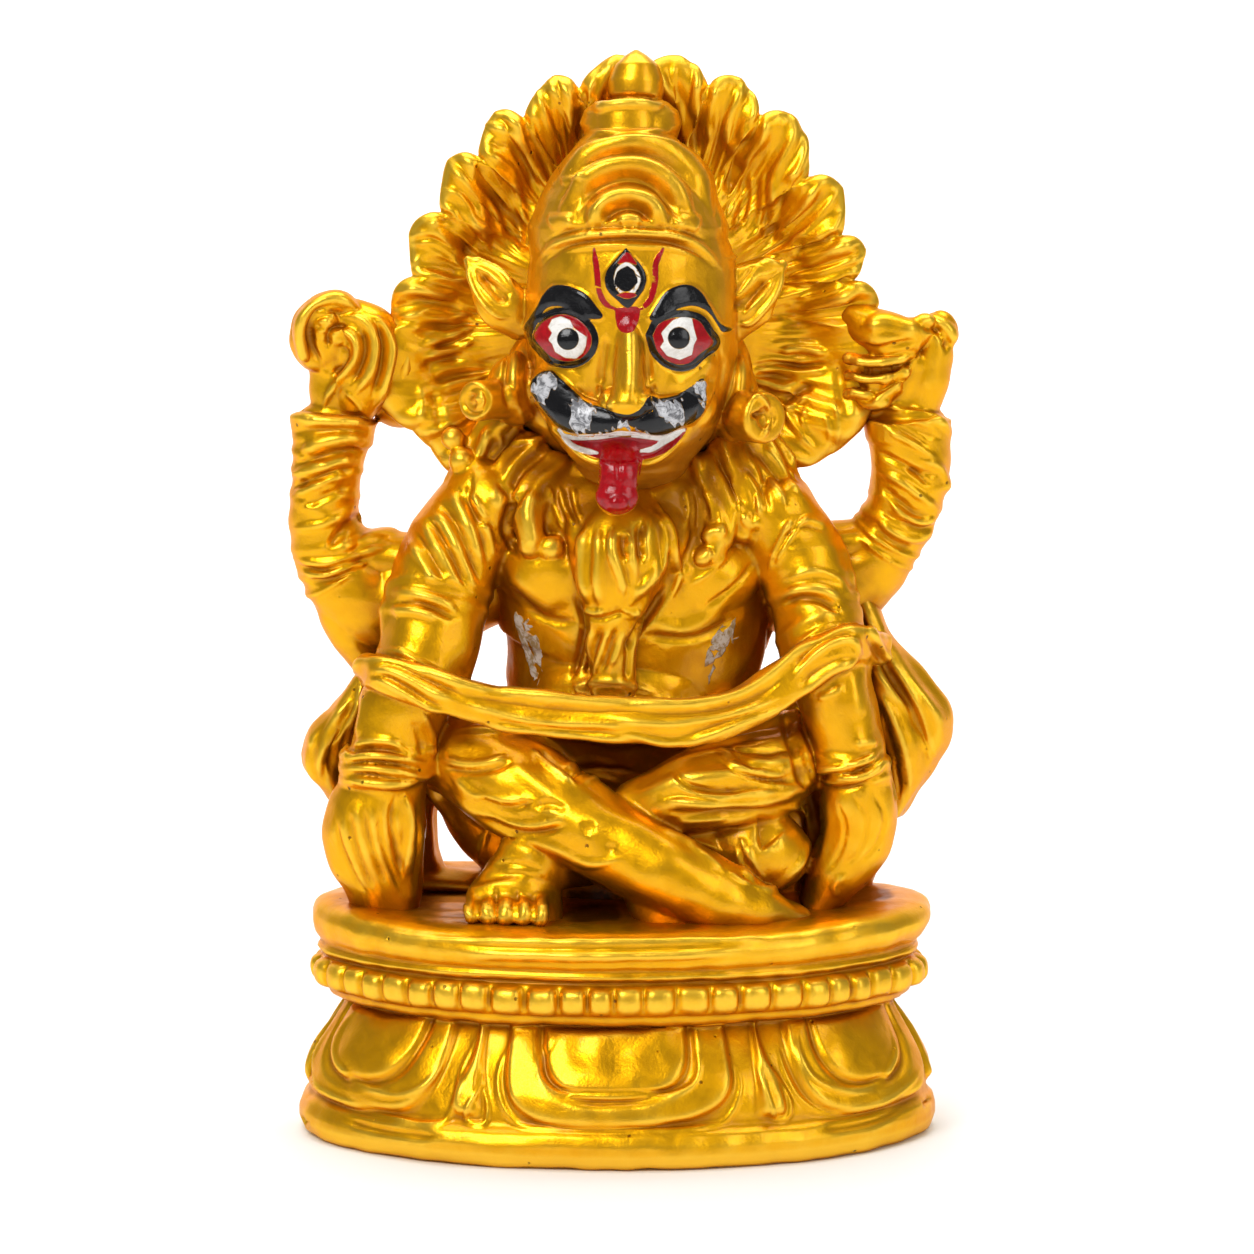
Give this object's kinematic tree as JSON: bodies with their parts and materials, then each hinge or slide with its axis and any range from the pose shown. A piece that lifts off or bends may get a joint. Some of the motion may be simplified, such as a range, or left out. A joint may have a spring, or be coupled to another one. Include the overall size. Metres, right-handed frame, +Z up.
{
  "type": "narasimha statue",
  "caption": "Seated lion-headed deity with four arms, a halo of mane locks and a band of cloth round the forearms, cast in one with an oval lotus plinth.",
  "frame": {"origin": "middle of the oval underside of the plinth", "axes": "+Z up, the figure faces -Y, +X to the viewer's right seen from the front"},
  "size_m": [0.0943, 0.0618, 0.1498],
  "materials": {
    "gold_paint": "brushed-on metallic gold paint, satin, with enamel colours on the face"
  },
  "bodies": {
    "root": {"narasimha_statue": "gold_paint"}
  },
  "joints": []
}
